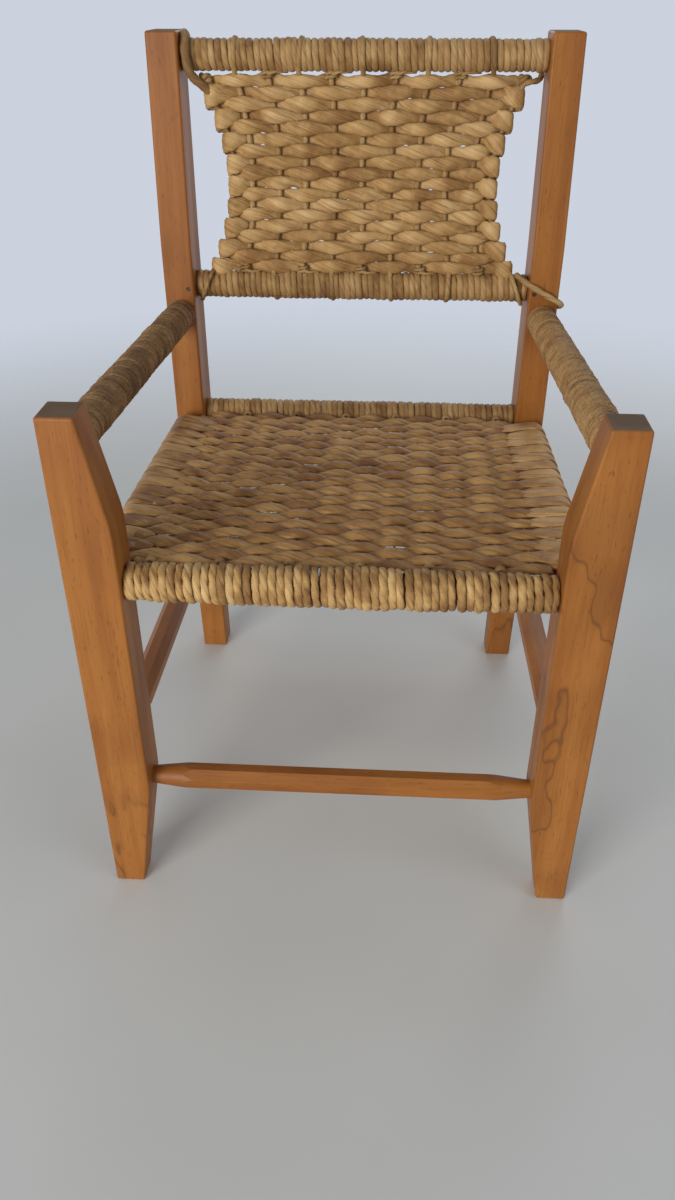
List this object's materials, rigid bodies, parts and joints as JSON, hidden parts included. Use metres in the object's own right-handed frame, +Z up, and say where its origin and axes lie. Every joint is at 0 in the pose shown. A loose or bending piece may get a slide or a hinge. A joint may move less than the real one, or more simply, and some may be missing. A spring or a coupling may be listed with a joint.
{
  "type": "child armchair",
  "caption": "Small child's armchair with a pinned hardwood frame, rope-bound rails and arms, and a woven palm seat and back.",
  "frame": {"origin": "on the floor, under the middle of the chair's width and depth", "axes": "+Z up, -Y the way the chair faces, +X to the right as seen from the front"},
  "size_m": [0.341, 0.35, 0.55],
  "materials": {
    "hardwood": "satin varnished honey-brown hardwood with visible grain",
    "nail_steel": "dull plain steel wire nails",
    "seat_rope": "two-ply twisted grass rope, pale straw",
    "rail_rope": "twisted grass rope, straw",
    "arm_strand_dark": "fine twisted grass strand, darker straw",
    "arm_strand_pale": "fine twisted grass strand, light straw",
    "warp_cord": "twisted grass cord",
    "seat_palm": "flat bundles of rolled palm leaf, brownish straw",
    "seat_palm_pale": "flat bundles of rolled palm leaf, paler straw",
    "back_palm": "flat bundles of rolled palm leaf, golden straw"
  },
  "bodies": {
    "root": {"arm_rail_left": "hardwood", "arm_rail_right": "hardwood", "arm_wrap_left": "arm_strand_dark", "arm_wrap_right": "arm_strand_pale", "back_bottom_wrap": "rail_rope", "back_edge_cord_left": "warp_cord", "back_edge_cord_right": "warp_cord", "back_edge_turns_left": "back_palm", "back_edge_turns_right": "back_palm", "back_post_left": "hardwood", "back_post_right": "hardwood", "back_rail_bottom": "hardwood", "back_rail_top": "hardwood", "back_top_wrap": "rail_rope", "back_warps": "warp_cord", "back_wefts": "back_palm", "corner_ties": "warp_cord", "frame_nails": "nail_steel", "front_leg_left": "hardwood", "front_leg_right": "hardwood", "post_tie": "warp_cord", "seat_back_wrap": "rail_rope", "seat_band_left": "seat_palm", "seat_band_right": "seat_palm_pale", "seat_front_wrap": "seat_rope", "seat_rail_back": "hardwood", "seat_rail_front": "hardwood", "seat_rail_left": "hardwood", "seat_rail_right": "hardwood", "seat_warps": "warp_cord", "seat_wefts": "seat_palm", "stretcher_back": "hardwood", "stretcher_front": "hardwood", "stretcher_left": "hardwood", "stretcher_right": "hardwood"}
  },
  "joints": []
}
